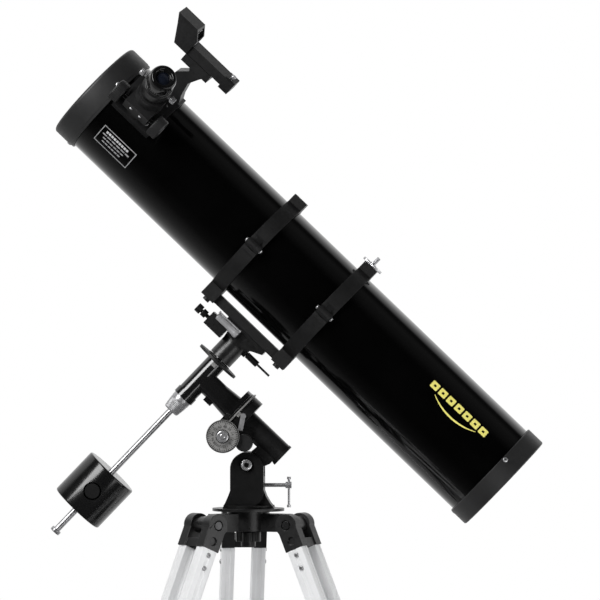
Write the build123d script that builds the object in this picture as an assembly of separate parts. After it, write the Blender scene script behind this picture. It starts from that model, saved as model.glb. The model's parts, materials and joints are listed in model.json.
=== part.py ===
from build123d import *
import os
from math import sin, cos, tan, pi, radians, sqrt, atan2, degrees

os.makedirs("parts", exist_ok=True)

# ---------------------------------------------------------------- dimensions, millimetres
# row frame = working frame moved sideways so the whole object's box is centred on the origin
SHIFT_X, SHIFT_Y = -71.4135, -67.4935

H = 700.0            # top of the tripod flange above the floor
LAT = 43.8           # polar altitude the mount is set to, degrees
CX, CZ = -69.9, H + 195.0   # crossing of the polar and declination axes (working frame, y = 0)
RUN = 0.05           # radial running clearance of shafts

# tripod
SPLAY = 22.4         # leg angle from the vertical
FOLD = 20.0          # how far the legs fold inward
HINGE_R = 77.0       # leg hinge radius from the tripod axis
HINGE_Z = H - 23.5
LEG_AZ = {"left": 217.8, "right": 337.8, "rear": 97.8}
RAIL_W, RAIL_D, RAIL_IN = 20.0, 26.0, 13.5
RAIL_END = 560.0
EXT_TOP = 180.0
BRACE_S = 330.0      # brace bracket distance down the leg
BRACE_N = -34.0      # brace pivot, inward from the leg centreline
BRACE_HUB_R = 25.0
BRACE_TILT = 28.0    # arm slope at full spread

# optical tube
TUBE_Z = 200.0       # tube axis above the axes' crossing, along the declination axis
TUBE_R, TUBE_WALL = 80.0, 1.2
TUBE_X0, TUBE_X1 = -395.0, 420.0
FRONT_X, REAR_X = -418.0, 436.5
END_R = 84.0
RING_X = {"front": -77.0, "rear": 68.0}
RING_W, RING_R = 24.0, 86.5
FOC_X, FOC_ANG = -339.0, 27.0
FIND_ANG = 63.5


# ---------------------------------------------------------------- helpers
def plane(p, d):
    return Plane(origin=Vector(*p), z_dir=Vector(*d))


def cyl(p0, p1, r):
    a, b = Vector(*p0), Vector(*p1)
    return Solid.make_cylinder(r, (b - a).length, Plane(origin=a, z_dir=b - a))


def cone(p0, p1, r0, r1):
    a, b = Vector(*p0), Vector(*p1)
    return Solid.make_cone(r0, r1, (b - a).length, Plane(origin=a, z_dir=b - a))


def box(x0, x1, y0, y1, z0, z1):
    return Solid.make_box(x1 - x0, y1 - y0, z1 - z0).moved(Location((x0, y0, z0)))


def spun(profile, p, d):
    wire = Wire.make_polygon([Vector(r, 0, h) for r, h in profile], close=True)
    return Solid.revolve(Face(wire), 360, Axis.Z).moved(plane(p, d).location)


def slab_xz(points, y0, y1):
    wire = Wire.make_polygon([Vector(x, y0, z) for x, z in points], close=True)
    return Solid.extrude(Face(wire), Vector(0, y1 - y0, 0))


def slab_yz(points, x0, x1):
    wire = Wire.make_polygon([Vector(x0, y, z) for y, z in points], close=True)
    return Solid.extrude(Face(wire), Vector(x1 - x0, 0, 0))


def solids(*shapes):
    out = []
    for s in shapes:
        if isinstance(s, (list, tuple, ShapeList)):
            out += solids(*s)
        else:
            out += list(s.solids())
    return out


def fuse(*shapes):
    s = solids(*shapes)
    return s[0].fuse(*s[1:]) if len(s) > 1 else s[0]


def cut(a, *tools):
    r = a
    for t in tools:
        r = r - t
    return r


PARTS = {}


def put(name, *shapes, at=None):
    out = []
    for s in solids(*shapes):
        if at is not None:
            s = s.moved(at)
        out.append(s)
    PARTS.setdefault(name, []).extend(out)


# mount frame: x down the polar axis, z up the declination axis, y across
MOUNT = Location((CX, 0, CZ), (0, LAT, 0))


def around(angle, x=0.0):
    """frame on the tube: x along the tube, z out from the tube axis at the angle"""
    return MOUNT * Location((x, 0, TUBE_Z), (90 - angle, 0, 0))


def leg_at(name):
    return Location((0, 0, HINGE_Z), (0, 0, LEG_AZ[name])) * Location((HINGE_R, 0, 0), (0, -SPLAY, 0))


def azim(name):
    return Location((0, 0, 0), (0, 0, LEG_AZ[name]))


# ================================================================ tripod head (root)
head = fuse(cyl((0, 0, H - 4.2), (0, 0, H), 54), cyl((0, 0, H - 34), (0, 0, H - 4.2), 32))
for n in LEG_AZ:
    arm = fuse(box(18, HINGE_R, -14.9, 14.9, HINGE_Z - 11, H - 8),
               cyl((HINGE_R, -14.9, HINGE_Z), (HINGE_R, 14.9, HINGE_Z), 12.5))
    arm = cut(arm, box(HINGE_R - 14, HINGE_R + 20, -20, 20, HINGE_Z + 12.5, H),
              cyl((HINGE_R, -20, HINGE_Z), (HINGE_R, 20, HINGE_Z), 4.0 + RUN))
    head = fuse(head, arm.moved(azim(n)))
head = cut(head, cyl((0, 0, H - 22), (0, 0, H + 1), 12 + RUN), cyl((0, 0, H - 40), (0, 0, H - 20), 5 + RUN))
put("tripod_head", head)

# pivot bolts of the three legs, heads sunk in the knuckles; they stay with the head
for n in LEG_AZ:
    b = fuse(cyl((HINGE_R, -33.5, HINGE_Z), (HINGE_R, 33.5, HINGE_Z), 4.0),
             cyl((HINGE_R, -33.5, HINGE_Z), (HINGE_R, -29.5, HINGE_Z), 6.2),
             cyl((HINGE_R, 29.5, HINGE_Z), (HINGE_R, 33.5, HINGE_Z), 6.2))
    # the shank is held by the head's arm: grown to the bore so the bolt does not turn in it
    put("leg_pivot_bolts", b.moved(azim(n)))

# azimuth lock knob under the head, its stem up into the base
knob = fuse(cyl((0, 0, H - 50), (0, 0, H - 36), 19), cyl((0, 0, H - 58), (0, 0, H - 50), 11),
            cyl((0, 0, H - 36), (0, 0, H - 10), 5))
for i in range(10):
    a = radians(36 * i)
    knob = cut(knob, cyl((20.5 * cos(a), 20.5 * sin(a), H - 52), (20.5 * cos(a), 20.5 * sin(a), H - 34), 3.2))
put("azimuth_knob", knob)

# ================================================================ legs, built hanging down -z from the hinge
for n in LEG_AZ:
    at = leg_at(n)
    # knuckle casting: two cheeks with sunk bolt seats, a web under the head's arm, plugs into the rails
    kn = []
    for s in (-1, 1):
        y0, y1 = sorted((s * 15.1, s * 34))
        cheek = fuse(box(-13, 13, y0, y1, -38, 0), cyl((0, y0, 0), (0, y1, 0), 17),
                     box(-15, 15, y0, y1, -38, -8))
        plug0, plug1 = sorted((s * 15.2, s * 31.8))
        kn += [cheek, box(-11.3, 11.3, plug0, plug1, -66, -38)]
    kn = fuse(kn, box(-13, 13, -15.2, 15.2, -38, -25))
    kn = cut(kn, cyl((0, -40, 0), (0, 40, 0), 4.0 + RUN),
             cyl((0, 29.2, 0), (0, 40, 0), 7.4), cyl((0, -40, 0), (0, -29.2, 0), 7.4),
             cyl((0, 31, -25), (0, 40, -25), 6), cyl((0, -40, -25), (0, -31, -25), 6))
    put(f"leg_{n}_knuckle", kn, at=at)
    # twin hollow aluminium rails
    rails = []
    for s in (-1, 1):
        y0, y1 = sorted((s * RAIL_IN, s * (RAIL_IN + RAIL_W)))
        rails.append(cut(box(-13, 13, y0, y1, -RAIL_END, -38),
                         box(-11.3, 11.3, y0 + 1.7, y1 - 1.7, -RAIL_END - 1, -37)))
    put(f"leg_{n}_rails", rails, at=at)
    # clamp collar at the rails' lower end, and the brace bracket halfway up
    clamp = cut(box(-17, 17, -37, 37, -592, -543),
                box(-13, 13, -33.5, -13.5, -RAIL_END, -500), box(-13, 13, 13.5, 33.5, -RAIL_END, -500),
                box(-11.3, 11.3, -13.3, 13.3, -600, -500),
                cyl((10, 0, -576), (20, 0, -576), 3 + RUN))
    bracket = fuse(box(-17, -13, -34, 34, -BRACE_S - 17, -BRACE_S + 17),
                   box(-40, -17, 5.6, 9.6, -BRACE_S - 10, -BRACE_S + 10),
                   box(-40, -17, -9.6, -5.6, -BRACE_S - 10, -BRACE_S + 10),
                   cyl((BRACE_N, 9.6, -BRACE_S), (BRACE_N, 12, -BRACE_S), 5),
                   cyl((BRACE_N, -12, -BRACE_S), (BRACE_N, -9.6, -BRACE_S), 5))
    put(f"leg_{n}_clamp", clamp, bracket, at=at)
    # sliding lower leg with its rubber foot, cut level with the floor
    leg_len = HINGE_Z / cos(radians(SPLAY))
    ext = cut(box(-11, 11, -13, 13, -(leg_len - 22), -EXT_TOP),
              box(-9.3, 9.3, -11.3, 11.3, -(leg_len - 32), -EXT_TOP + 1))
    foot = fuse(cyl((0, 0, -(leg_len - 34)), (0, 0, -(leg_len - 22)), 18.2),
                cone((0, 0, -(leg_len - 22)), (0, 0, -(leg_len + 12)), 18.2, 15))
    foot = cut(foot, box(-11, 11, -13, 13, -(leg_len - 22), -(leg_len - 40)))
    ground = box(-600, 600, -600, 600, -200, 0)
    foot = cut(foot.moved(at), ground)
    put(f"leg_{n}_extension", ext, at=at)
    put(f"leg_{n}_extension", foot)
    # thumbscrew of the clamp
    kb = fuse(cyl((11.5, 0, -576), (24, 0, -576), 3), cyl((20, 0, -576), (26, 0, -576), 7),
              box(25, 42, -13, 13, -579, -573))
    put(f"leg_{n}_knob", kb, at=at)

# ================================================================ brace: sliding hub with tray, three arms
th = radians(SPLAY)
pin_r = HINGE_R + BRACE_S * sin(th) + BRACE_N * cos(th)
pin_z = HINGE_Z - BRACE_S * cos(th) + BRACE_N * sin(th)
ARM_L = (pin_r - BRACE_HUB_R) / cos(radians(BRACE_TILT))
HUB_Z = pin_z + ARM_L * sin(radians(BRACE_TILT))
hub = cyl((0, 0, HUB_Z - 8), (0, 0, HUB_Z + 12), 17)
tray = cyl((0, 0, HUB_Z + 12), (0, 0, HUB_Z + 15), 58)
for n in LEG_AZ:
    lug = fuse(box(14, BRACE_HUB_R + 4, 4.2, 8.2, HUB_Z - 8, HUB_Z + 8),
               box(14, BRACE_HUB_R + 4, -8.2, -4.2, HUB_Z - 8, HUB_Z + 8),
               cyl((BRACE_HUB_R, -9.5, HUB_Z), (BRACE_HUB_R, 9.5, HUB_Z), 2.5))
    hub = fuse(hub, lug.moved(azim(n)))
    lobe = Location((0, 0, 0), (0, 0, LEG_AZ[n] + 60))
    tray = fuse(tray, cyl((74, 0, HUB_Z + 12), (74, 0, HUB_Z + 15), 25).moved(lobe))
for n in LEG_AZ:
    lobe = Location((0, 0, 0), (0, 0, LEG_AZ[n] + 60))
    tray = cut(tray, cyl((74, 0, HUB_Z), (74, 0, HUB_Z + 30), 16.2).moved(lobe))
    arm = fuse(cyl((0, -3.8, 0), (0, 3.8, 0), 7), box(0, ARM_L, -3.8, 3.8, -6, 6),
               cyl((ARM_L, -3.8, 0), (ARM_L, 3.8, 0), 7))
    arm = cut(arm, cyl((0, -6, 0), (0, 6, 0), 2.5 + RUN), cyl((ARM_L, -6, 0), (ARM_L, 6, 0), 2.5))
    put(f"brace_arm_{n}", arm, at=azim(n) * Location((BRACE_HUB_R, 0, HUB_Z), (0, BRACE_TILT, 0)))
put("brace_tray", fuse(hub, tray))

# ================================================================ mount base: fork on the tripod flange
PIV_X, PIV_Z = -1.2, H + 65.4
zt, zb = PIV_Z - 6, H + 26
cheek = Wire([Edge.make_line((-26, -27, zb), (-26, -27, zt)), Edge.make_three_point_arc((-26, -27, zt), (-1, -27, zt + 25), (24, -27, zt)),
              Edge.make_line((24, -27, zt), (24, -27, zb)), Edge.make_three_point_arc((24, -27, zb), (-1, -27, zb - 25), (-26, -27, zb))])
fork = fuse(Solid.extrude(Face(cheek), Vector(0, 54, 0)),
            slab_xz([(-38, H), (40, H), (33.5, H + 8), (27.5, H + 18), (22, H + 33), (-24, H + 33), (-29.5, H + 18), (-34, H + 8)], -20, 20),
            cyl((1, 0, H), (1, 0, H + 4.5), 38.4))
fork = cut(fork, box(-30, 14, -12.2, 12.2, H + 22, H + 100), box(-30, 30, -12.2, 12.2, H + 47, H + 100),
           cyl((0, -30, PIV_Z), (0, 30, PIV_Z), 5 + RUN).moved(Location((PIV_X, 0, 0))),
           cyl((PIV_X, -30, PIV_Z), (PIV_X, -24, PIV_Z), 11), cyl((PIV_X, 24, PIV_Z), (PIV_X, 30, PIV_Z), 11),
           cyl((0, 0, H + 34.5), (40, 0, H + 34.5), 3 + RUN))
fork = fuse(fork, cyl((0, 0, H - 20), (0, 0, H + 3), 12))
fork = cut(fork, cyl((0, 0, H - 21), (0, 0, H - 9), 5 + RUN))
put("mount_base", fork)

bolt = fuse(cyl((PIV_X, -24, PIV_Z), (PIV_X, 24, PIV_Z), 5),
            cyl((PIV_X, -33, PIV_Z), (PIV_X, -24, PIV_Z), 8.2), cyl((PIV_X, 24, PIV_Z), (PIV_X, 31, PIV_Z), 8.2))
bolt = cut(bolt, extrude(Plane(origin=(PIV_X, -34, PIV_Z), z_dir=(0, 1, 0)) * RegularPolygon(4.2, 6), 5))
put("altitude_bolt", bolt)

# latitude screw: cross bar through the head, pointed end against the housing's tail
tb = fuse(cyl((11, 0, H + 34.5), (58, 0, H + 34.5), 3), cone((7.6, 0, H + 34.5), (11, 0, H + 34.5), 1.4, 3),
          cyl((56, 0, H + 34.5), (65, 0, H + 34.5), 5),
          cyl((61, 0, H + 3), (61, 0, H + 45), 1.8), cyl((61, 0, H + 1), (61, 0, H + 5), 3),
          cyl((61, 0, H + 43), (61, 0, H + 47), 3))
put("latitude_screw", tb)

# ================================================================ polar housing (mount frame from here on)
M = MOUNT
PLX, PLZ = 139.3, -46.0      # altitude pivot in the mount frame
WX = 84.6                    # worm axis along the polar axis
tail_dir = Location((PLX, 0, PLZ), (0, -LAT, 0))   # upright frame at the pivot
pol = fuse(cyl((93, 0, 0), (165, 0, 0), 17.5), cyl((79, 0, 0), (93, 0, 0), 35), cyl((71.5, 0, 0), (79, 0, 0), 16),
           cut(cyl((WX, -41, -38.5), (WX, 41, -38.5), 11), box(60, 78.6, -50, 50, -60, -20)), box(79, 93, -26, 26, -42, -25),
           slab_xz([(132, -9), (163, -9), (163, -22), (152, -48), (128, -46)], -12, 12),
           cyl((PLX, -12, PLZ), (PLX, 12, PLZ), 14),
           slab_xz([(-6, 0), (6, 0), (6, -37), (-6, -37)], -11, 11).moved(tail_dir),
           cyl((114, -33, -24), (114, 0, -24), 6), cyl((93, 0, -14), (118, 0, -14), 15))
pol = cut(pol, cyl((60, 0, 0), (152, 0, 0), 10 + RUN),
          cut(cyl((81.4, 0, 0), (90.6, 0, 0), 33.2), cyl((81.4, 0, 0), (90.6, 0, 0), 13)),
          cyl((WX, -46, -38.5), (WX, 46, -38.5), 4 + RUN), cyl((WX, -16, -38.5), (WX, 16, -38.5), 5.1),
          cyl((PLX, -20, PLZ), (PLX, 20, PLZ), 5 + RUN), cyl((114, -40, -24), (114, -12, -24), 3 + RUN),
          cyl((85.5, -40, 4), (85.5, -33.4, 4), 2 + RUN))
put("polar_housing", pol, cyl((165, 0, 0), (169.2, 0, 0), 18.3), at=M)

# worm with its graduated slow-motion disc facing -y
worm = fuse(cyl((WX, -64, -38.5), (WX, 43, -38.5), 4), cyl((WX, -14, -38.5), (WX, 14, -38.5), 4.7),
            cyl((WX, -54, -38.5), (WX, -49, -38.5), 25), cyl((WX, -62, -38.5), (WX, -54, -38.5), 9),
            cyl((WX, -49, -38.5), (WX, -42, -38.5), 8), cyl((WX, 43, -38.5), (WX, 55, -38.5), 8))
put("ra_worm_knob", worm, at=M)
wheel = cut(cyl((82, 0, 0), (90, 0, 0), 32.4), cyl((80, 0, 0), (92, 0, 0), 13 + RUN))
put("ra_worm_wheel", wheel, at=M)
circ = cut(fuse(cyl((74.9, 0, 0), (76.9, 0, 0), 37.6), cyl((71.7, 0, 0), (78.4, 0, 0), 35.4)),
           cyl((60, 0, 0), (90, 0, 0), 16 + RUN))
put("ra_setting_circle", circ, at=M)
lever = fuse(cyl((85.5, -36.5, 4), (85.5, -33.6, 4), 2), cyl((85.5, -43, 4), (85.5, -36.5, 4), 4.2),
             slab_xz([(82.4, 2.1), (88.4, 5.9), (100, -12.8), (94, -16.6)], -42, -38))
put("ra_lock_lever", lever, at=M)
ck = fuse(cyl((114, -46, -24), (114, -33.8, -24), 13.5), cyl((114, -34, -24), (114, -14, -24), 3))
put("ra_clutch_knob", ck, at=M)

# ================================================================ declination housing on the polar shaft
dec = fuse(cyl((0, 0, -41), (0, 0, 31), 15.75), cyl((0, 0, 31), (0, 0, 39.8), 12),
           cyl((0, 0, 0), (64, 0, 0), 17), cyl((64, 0, 0), (71.2, 0, 0), 35), cone((36, 0, 0), (64, 0, 0), 17, 19.5),
           cyl((64, 0, 0), (150, 0, 0), 10), box(24, 38, -7, 7, -22, -10),
           cyl((0, 0, -41), (0, 0, -30), 17))
dec = cut(dec, cyl((0, 0, -32), (0, 0, 60), 8 + RUN), cyl((0, 0, -60), (0, 0, -30), 5))
put("dec_housing", dec, at=M)
dcirc = cut(fuse(cyl((0, 0, 32.4), (0, 0, 36.6), 35.5), cyl((0, 0, 31.4), (0, 0, 38.6), 20)), cyl((0, 0, 20), (0, 0, 50), 12 + RUN))
put("dec_setting_circle", dcirc, at=M)
sad = fuse(cyl((0, 0, -30), (0, 0, 41), 8), cyl((0, 0, 40), (0, 0, 68), 19.2), cone((0, 0, 68), (0, 0, 90), 19.2, 23),
           slab_xz([(-18, 74), (18, 74), (27, 81), (42, 88), (42, 95), (-34, 95), (-34, 88), (-22, 84)], -20, 20),
           box(-55, -22, -28, 12, 63, 85), box(-34, -22, -20, 20, 80, 95),
           cyl((-47, -24, 84), (-5, -24, 84), 5.5), cyl((10, 0, 72), (24, 0, 72), 6.4))
sad = cut(sad, cyl((-60, -8, 73), (-30, -8, 73), 3 + RUN), cyl((14, 0, 72), (60, 0, 72), 3 + RUN))
put("dec_saddle", sad, at=M)
dsm = fuse(cyl((-74, -8, 73), (-32, -8, 73), 3), cyl((-68, -8, 73), (-60, -8, 73), 6), cyl((-79, -8, 73), (-70, -8, 73), 7))
put("dec_slow_motion", dsm, at=M)
dl = fuse(cyl((15, 0, 72), (30, 0, 72), 3), cyl((24.6, 0, 72), (46.5, 0, 72), 4.9), cyl((45, 0, 72), (71, 0, 72), 1.7))
put("dec_lock", dl, at=M)

# counterweight side of the declination axis
nut = cut(cone((0, 0, -41), (0, 0, -68), 15, 12), cyl((0, 0, -80), (0, 0, -30), 5))
put("shaft_nut", nut, at=M)
put("counterweight_shaft", fuse(cyl((0, 0, -321), (0, 0, -30), 5), cyl((0, 0, -321), (0, 0, -315), 8)), at=M)
cw = cut(cyl((0, 0, -272), (0, 0, -195), 43), cyl((0, 0, -280), (0, 0, -190), 5 + RUN),
         cyl((0, -50, -233.5), (0, -30, -233.5), 13.5), cyl((0, -31, -233.5), (0, 0, -233.5), 4 + RUN))
put("counterweight", cw, at=M)
put("weight_screw", fuse(cyl((0, -31, -233.5), (0, -5.3, -233.5), 4), cyl((0, -41, -233.5), (0, -30.2, -233.5), 11.5)), at=M)

# ================================================================ tube rings on the mounting bar
T = TUBE_Z
bar = box(RING_X["front"] - 10, RING_X["rear"] + 10, -16, 16, 95, 110)
for x in RING_X.values():
    bar = fuse(bar, cyl((x, 0, 88), (x, 0, 96), 5.5))
put("mounting_bar", bar, at=M)
for n, x in RING_X.items():
    x0, x1 = x - RING_W / 2, x + RING_W / 2
    hy = -92.0
    low = fuse(cyl((x0, 0, T), (x1, 0, T), RING_R), box(x0, x1, -23, 23, 93, 140),
               box(x0, x1, 80, 108, T - 14, T - 1), box(x0, x1, hy, -80, T - 14, T))
    low = cut(low, cyl((x0 - 5, 0, T), (x1 + 5, 0, T), TUBE_R + RUN), box(x0 - 5, x1 + 5, -120, 120, T - 1, T + 100),
              box(x0 - 5, x1 + 5, -16, 16, 90, 110),
              cyl((x - 5.2, hy, T), (x + 5.2, hy, T), 7.6), box(x - 5.2, x + 5.2, -110, hy, T - 20, T + 8),
              cyl((x, 97, T - 30), (x, 97, T + 5), 3.4), box(x - 3.4, x + 3.4, 97, 120, T - 30, T + 5))
    low = fuse(solids(low), cyl((x0, hy, T), (x - 5.2, hy, T), 7), cyl((x + 5.2, hy, T), (x1, hy, T), 7),
               cyl((x - 15, hy, T), (x + 15, hy, T), 3))
    put("ring_lower_halves", low, at=M)
    up = fuse(cyl((x0, 0, T), (x1, 0, T), RING_R), box(x0, x1, -23, 23, T + 60, T + 97),
              box(x0, x1, 80, 108, T + 1, T + 14))
    up = cut(up, cyl((x0 - 5, 0, T), (x1 + 5, 0, T), TUBE_R + RUN), box(x0 - 5, x1 + 5, -120, 120, T - 100, T + 1),
             cyl((x0 - 5, hy, T), (x1 + 5, hy, T), 7.6))
    link = cut(slab_yz([(hy, T + 2), (-82, T + 1.2), (-80, T + 20), (hy, T + 6.8)], x - 5, x + 5),
               cyl((x0 - 5, 0, T), (x1 + 5, 0, T), TUBE_R + RUN))
    up = fuse(solids(up), cyl((x - 5, hy, T), (x + 5, hy, T), 7), link)
    up = cut(up, cyl((x - 20, hy, T), (x + 20, hy, T), 3 + RUN), cyl((x, 97, T - 5), (x, 97, T + 30), 3 + RUN))
    if n == "rear":
        up = cut(up, cyl((x, 0, T + 90), (x, 0, T + 120), 3 + RUN))
    put(f"ring_{n}_upper", solids(up), at=M)
    put(f"ring_{n}_knob", fuse(cyl((x, 97, T - 16), (x, 97, T + 18), 3), cyl((x, 97, T + 14.2), (x, 97, T + 19), 7),
                               cyl((x, 97, T + 19), (x, 97, T + 33), 12)), at=M)
xr = RING_X["rear"]
put("piggyback_screw", fuse(cyl((xr, 0, T + 97.2), (xr, 0, T + 101.5), 17.5), cyl((xr, 0, T + 91), (xr, 0, T + 98), 3),
                            cyl((xr, 0, T + 101), (xr, 0, T + 114), 3.175)), at=M)

# ================================================================ optical tube
foc = around(FOC_ANG, FOC_X)
foc_local = Location((FOC_X, 0, T), (90 - FOC_ANG, 0, 0))
tube = cut(cyl((TUBE_X0, 0, T), (TUBE_X1, 0, T), TUBE_R), cyl((TUBE_X0 - 5, 0, T), (TUBE_X1 + 5, 0, T), TUBE_R - TUBE_WALL),
           cyl((0, 0, 40), (0, 0, 100), 22).moved(foc_local))
put("main_tube", tube, at=M)
front = spun([(74, 0), (END_R - 1.5, 0), (END_R, 1.5), (END_R, 37), (END_R - 1, 38), (TUBE_R, 38), (TUBE_R, 23), (74, 23)],
             (FRONT_X, 0, T), (1, 0, 0))
put("front_ring", front, at=M)
cell = spun([(TUBE_R, 0), (END_R - 1, 0), (END_R, 1), (END_R, 28.5), (END_R - 1.5, 30), (74, 30), (74, 21), (26, 21), (26, 15), (74, 15), (74, 13.5), (TUBE_R, 13.5)],
            (REAR_X - 30, 0, T), (1, 0, 0))
for i in range(3):
    r = Location((0, 0, T), (30 + 120 * i, 0, 0))
    arc = cut(cyl((REAR_X - 20, 0, 0), (REAR_X - 5, 0, 0), 66), cyl((REAR_X - 20, 0, 0), (REAR_X - 5, 0, 0), 38))
    arc = arc & slab_yz([(0, 0), (80, 62), (80, -62)], REAR_X - 20, REAR_X - 5)
    cell = cut(cell, arc.moved(Location((0, 0, T), (120 * i, 0, 0))))
sup = spun([(20, -8), (58, -8), (58, 0), (20, 0)], (REAR_X - 37, 0, T), (1, 0, 0))
posts = []
for i in range(3):
    a = radians(60 + 120 * i)
    y, z = 45 * cos(a), 45 * sin(a)
    posts.append(cyl((REAR_X - 40, y, T + z), (REAR_X - 2, y, T + z), 5))
    a2 = a + radians(14)
    posts.append(cyl((REAR_X - 16, 45 * cos(a2), T + 45 * sin(a2)), (REAR_X - 4, 45 * cos(a2), T + 45 * sin(a2)), 3))
    clip = fuse(box(REAR_X - 45, REAR_X - 37, 55, 70, -5, 5), box(REAR_X - 62, REAR_X - 37, 66.2, 70, -5, 5))
    posts.append(clip.moved(Location((0, 0, T), (60 + 120 * i, 0, 0))))
put("mirror_cell", fuse(cell, sup, posts), at=M)
put("primary_mirror", cyl((REAR_X - 60, 0, T), (REAR_X - 45, 0, T), 66), at=M)

# spider with the secondary holder, and the secondary mirror on its slanted face
fdir = (0.0, -cos(radians(FOC_ANG)), sin(radians(FOC_ANG)))
nrm = (1 / sqrt(2), fdir[1] / sqrt(2), fdir[2] / sqrt(2))
hub_s = cyl((-400, 0, T), (-372, 0, T), 14)
for i in range(4):
    v = box(-394, -376, -0.5, 0.5, 0, 78.7).moved(Location((0, 0, T), (45 + 90 * i + 27, 0, 0)))
    hub_s = fuse(hub_s, v)
stem = cyl((-373, 0, T), (-355, 0, T), 6)
mp = Vector(FOC_X, 0, T)
half = Solid.make_box(120, 120, 80).moved(Location((-60, -60, -84))).moved(Plane(origin=mp, z_dir=Vector(*nrm)).location)
holder = cyl((-362, 0, T), (FOC_X + 19, 0, T), 18) & half
put("spider", fuse(hub_s, stem, holder), at=M)
slabm = Solid.make_box(120, 120, 4).moved(Location((-60, -60, -4))).moved(Plane(origin=mp, z_dir=Vector(*nrm)).location)
put("secondary_mirror", cyl((-380, 0, T), (FOC_X + 19, 0, T), 17.5) & slabm, at=M)

# focuser (frame with z along the drawtube)
fb = fuse(box(-36, 36, -33, 33, 60, 86), cyl((0, 0, 84), (0, 0, 100), 30), cyl((0, 0, 98), (0, 0, 138), 23.5),
          box(-23, 23, -32, -10, 98, 120))
fb = cut(fb, cyl((-60, 0, 0), (60, 0, 0), TUBE_R), cyl((0, 0, 40), (0, 0, 150), 19.2),
         cyl((-30, -24, 108), (30, -24, 108), 3 + RUN), cyl((-7, -24, 108), (7, -24, 108), 6.0))
put("focuser_base", fb, at=foc)
dt = fuse(cyl((0, 0, 66), (0, 0, 150), 19.0), cyl((0, 0, 148), (0, 0, 168), 22.5))
dt = cut(dt, cyl((0, 0, 60), (0, 0, 170), 16.0))
for s in (-1, 1):
    dt = fuse(dt, cyl((s * 20, 0, 160), (s * 29, 0, 160), 3), cyl((s * 26, 0, 160), (s * 34, 0, 160), 5))
put("drawtube", dt, at=foc)
fk_ = fuse(cyl((-40, -24, 108), (40, -24, 108), 3), cyl((-6, -24, 108), (6, -24, 108), 4.9),
           cyl((-47, -24, 108), (-31, -24, 108), 17), cyl((31, -24, 108), (47, -24, 108), 17))
put("focus_knobs", fk_, at=foc)
ep = fuse(cyl((0, 0, 140), (0, 0, 170), 15.9), cyl((0, 0, 168.2), (0, 0, 180), 19.5), cone((0, 0, 180), (0, 0, 198), 19.5, 17.3))
ep = cut(ep, cyl((0, 0, 130), (0, 0, 150), 14), cone((0, 0, 193), (0, 0, 199), 9, 12.5))
put("eyepiece", ep, at=foc)

# red dot finder on its stalk (frame with z out from the tube)
fnd = around(FIND_ANG, 0.0)
fs = fuse(box(-345, -303, -13, 13, 60, 88),
          slab_xz([(-344, 86), (-306, 86), (-312, 100), (-316, 121.8), (-308, 138.5), (-304, 145.5), (-331, 145.5), (-327, 138.5), (-341, 124), (-345, 105)], -9, 9),
          box(-347.5, -296.5, -13, 13, 145, 158.6), cyl((-318, 12, 151), (-318, 21, 151), 5),
          cyl((-350, 0, 92), (-338, 0, 92), 5))
fs = cut(fs, cyl((-400, 0, 0), (-200, 0, 0), TUBE_R), box(-350, -290, -7, 7, 152, 160))
put("finder_bracket", fs, at=fnd)
fb2 = fuse(box(-371, -262.5, -12, 12, 159, 174.5), box(-345, -299, -6.9, 6.9, 152.1, 160),
           slab_xz([(-371.5, 158.8), (-347, 158.8), (-346.5, 186), (-357, 201), (-395.5, 201), (-387, 187)], -15, 15),
           box(-280, -263, -10, 10, 153.6, 176), cyl((-272, 11.5, 166), (-272, 18, 166), 6))
fb2 = cut(fb2, slab_xz([(-405, 177), (-335, 177), (-335, 184), (-354, 197.4), (-405, 197.4)], -12.2, 12.2))
glass = slab_xz([(-354, 176.8), (-352, 176.8), (-353.6, 195), (-355.6, 195)], -13, 13)
put("finder_body", fb2, at=fnd)
put("finder_window", cut(glass, fb2), at=fnd)

# ================================================================ export
shift = Location((SHIFT_X, SHIFT_Y, 0))
lo, hi = [1e9] * 3, [-1e9] * 3
for name, shapes in sorted(PARTS.items()):
    shapes = [s.moved(shift) for s in shapes]
    comp = Compound(label=name, children=shapes) if len(shapes) > 1 else shapes[0]
    export_step(comp, f"parts/{name}.step")
    bb = comp.bounding_box()
    for i, (a, b) in enumerate(zip(tuple(bb.min), tuple(bb.max))):
        lo[i], hi[i] = min(lo[i], a), max(hi[i], b)
print(len(PARTS), "nodes; box", [round(v, 3) for v in lo], [round(v, 3) for v in hi])
print("brace hub z", round(HUB_Z, 3), "arm length", round(ARM_L, 3), "pin", round(pin_r, 3), round(pin_z, 3))
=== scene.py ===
import bpy
import json
from math import sin, cos, tan, pi, radians, degrees, sqrt, atan2, asin, hypot
from mathutils import Matrix, Vector

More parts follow.
